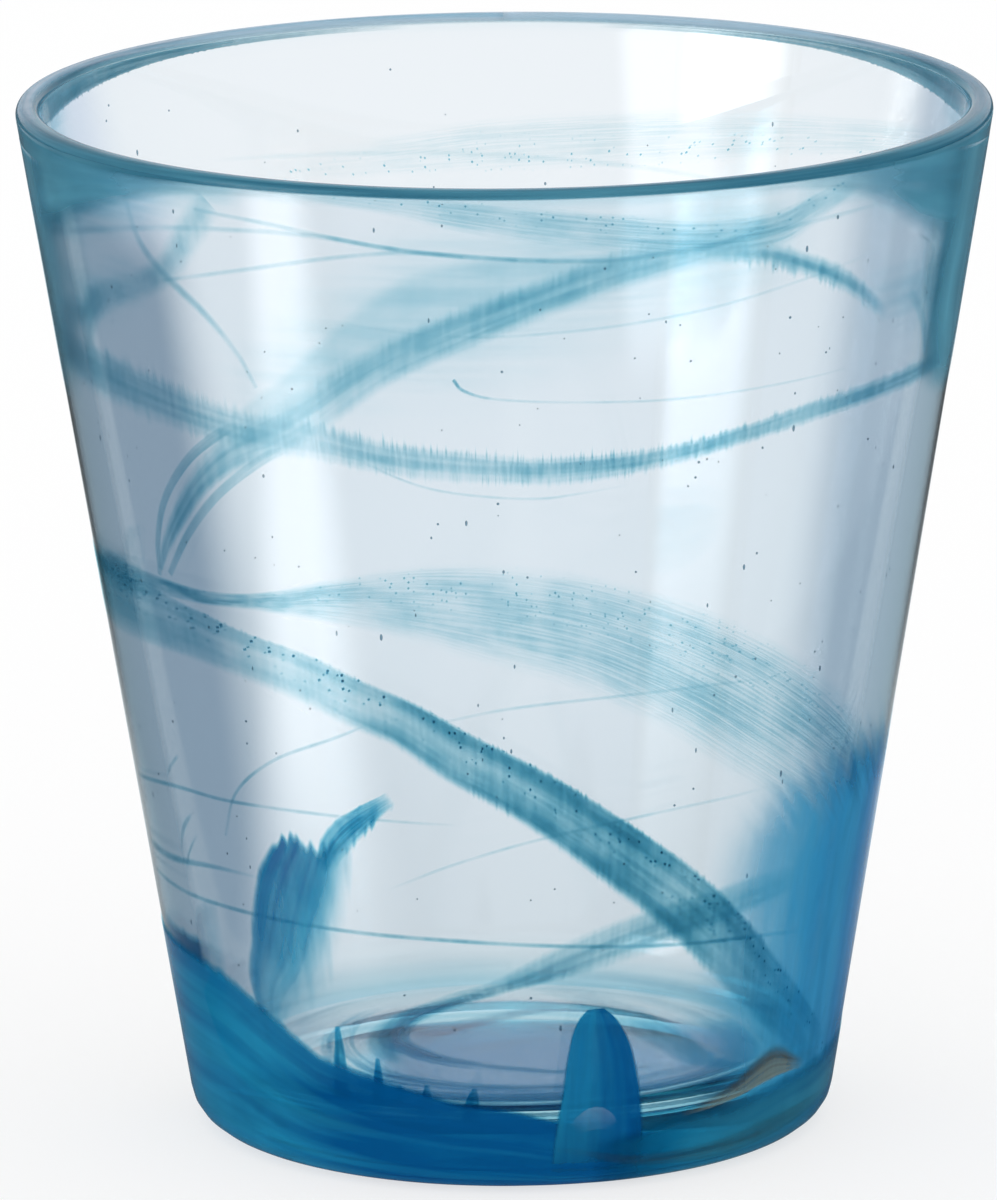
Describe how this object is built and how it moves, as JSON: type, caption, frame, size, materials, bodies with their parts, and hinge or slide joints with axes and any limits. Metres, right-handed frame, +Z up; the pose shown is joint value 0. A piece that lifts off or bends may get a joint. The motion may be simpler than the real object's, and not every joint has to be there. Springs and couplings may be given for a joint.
{
  "type": "drinking tumbler",
  "caption": "Tapered clear glass drinking tumbler with a thick floor, rounded lip and heel, and free-form blue and teal coloured-glass trails in its wall, heel and floor.",
  "frame": {"origin": "on the table under the middle of the foot", "axes": "+Z up along the axis of the glass, towards the rim; -Y is the side seen in the picture"},
  "size_m": [0.0934, 0.0934, 0.1],
  "materials": {
    "clear_glass": "polished, smooth, clear",
    "teal_trail_glass": "smooth, translucent teal glass with wispy edges",
    "blue_trail_glass": "smooth, translucent deep blue glass"
  },
  "bodies": {
    "root": {"tumbler_body": "clear_glass", "upper_loop_trail": "teal_trail_glass", "right_shoulder_trail": "teal_trail_glass", "long_diagonal_trail": "teal_trail_glass", "brush_wisp_trail": "teal_trail_glass", "upper_ring_trail": "teal_trail_glass", "left_thread_upper": "teal_trail_glass", "left_thread_lower": "teal_trail_glass", "belt_thread": "teal_trail_glass", "back_sweep_trail": "teal_trail_glass", "right_pool": "blue_trail_glass", "left_tuft": "blue_trail_glass", "tuft_curl": "blue_trail_glass", "base_sweep": "blue_trail_glass", "base_thumb": "blue_trail_glass", "heel_trail": "blue_trail_glass", "floor_swirl": "blue_trail_glass"}
  },
  "joints": []
}
